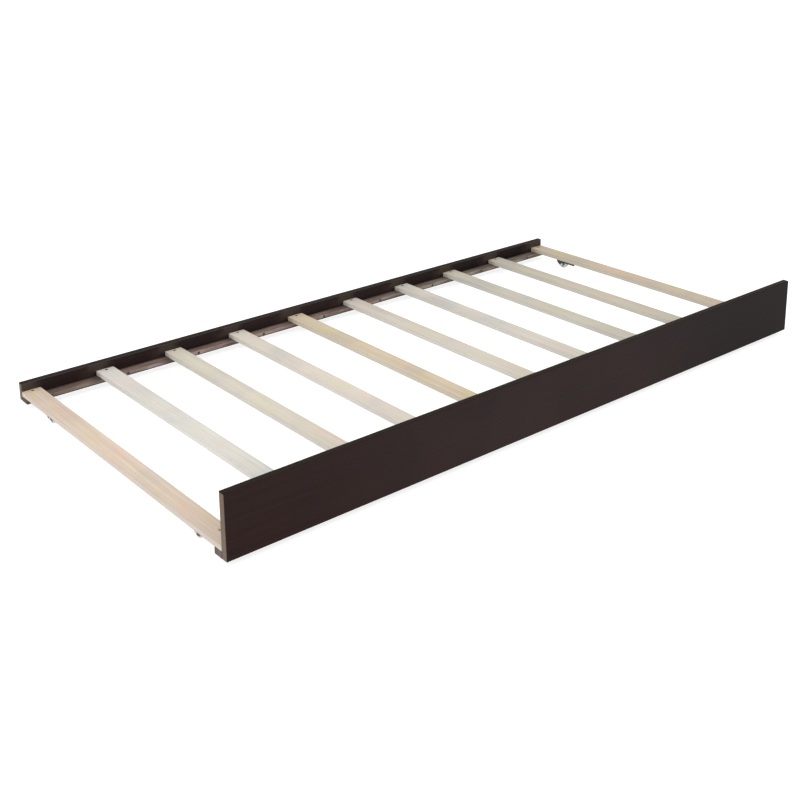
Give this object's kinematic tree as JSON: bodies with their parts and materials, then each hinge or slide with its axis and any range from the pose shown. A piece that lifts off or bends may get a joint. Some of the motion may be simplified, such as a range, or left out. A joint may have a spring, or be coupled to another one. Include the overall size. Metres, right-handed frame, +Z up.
{
  "type": "trundle bed",
  "caption": "Low slatted pull-out bed base: tall front panel, low rear rail, cross slats on cleats, and small fixed casters under the end slats.",
  "frame": {"origin": "on the floor, below the middle of the bed", "axes": "+X along the bed's length, +Y from the front panel to the rear rail, +Z up"},
  "size_m": [1.9, 1, 0.164],
  "materials": {
    "espresso_wood": "dark espresso stain under a satin lacquer",
    "stained_cleat": "thin grey-brown stain, sawn faces",
    "pale_wood": "bare planed softwood",
    "bracket_steel": "dark zinc-plated pressed sheet, satin",
    "rivet_steel": "bright zinc",
    "wheel_plastic": "moulded light grey nylon",
    "screw_steel": "dark phosphate coating"
  },
  "bodies": {
    "frame": {"front_panel": "espresso_wood", "rear_rail": "espresso_wood", "front_cleat": "stained_cleat", "rear_cleat": "stained_cleat", "slat_01": "pale_wood", "slat_02": "pale_wood", "slat_03": "pale_wood", "slat_04": "pale_wood", "slat_05": "pale_wood", "slat_06": "pale_wood", "slat_07": "pale_wood", "slat_08": "pale_wood", "slat_09": "pale_wood", "slat_10": "pale_wood", "front_slat_screws": "screw_steel", "rear_slat_screws": "screw_steel", "front_cleat_screws": "screw_steel", "rear_cleat_screws": "screw_steel", "caster_front_left_bracket": "bracket_steel", "caster_front_left_axle": "rivet_steel", "caster_front_left_screws": "screw_steel", "caster_front_right_bracket": "bracket_steel", "caster_front_right_axle": "rivet_steel", "caster_front_right_screws": "screw_steel", "caster_rear_left_bracket": "bracket_steel", "caster_rear_left_axle": "rivet_steel", "caster_rear_left_screws": "screw_steel", "caster_rear_right_bracket": "bracket_steel", "caster_rear_right_axle": "rivet_steel", "caster_rear_right_screws": "screw_steel"},
    "front_left_wheel": {"caster_front_left_wheel": "wheel_plastic"},
    "front_right_wheel": {"caster_front_right_wheel": "wheel_plastic"},
    "rear_left_wheel": {"caster_rear_left_wheel": "wheel_plastic"},
    "rear_right_wheel": {"caster_rear_right_wheel": "wheel_plastic"}
  },
  "joints": [
    {"name": "front_left_roll", "type": "hinge", "parent": "frame", "child": "front_left_wheel", "pos_m": [-0.925, -0.36, 0.013], "axis": [1, 0, 0], "continuous": true},
    {"name": "front_right_roll", "type": "hinge", "parent": "frame", "child": "front_right_wheel", "pos_m": [0.925, -0.36, 0.013], "axis": [1, 0, 0], "continuous": true},
    {"name": "rear_left_roll", "type": "hinge", "parent": "frame", "child": "rear_left_wheel", "pos_m": [-0.925, 0.349, 0.013], "axis": [1, 0, 0], "continuous": true},
    {"name": "rear_right_roll", "type": "hinge", "parent": "frame", "child": "rear_right_wheel", "pos_m": [0.925, 0.349, 0.013], "axis": [1, 0, 0], "continuous": true}
  ]
}
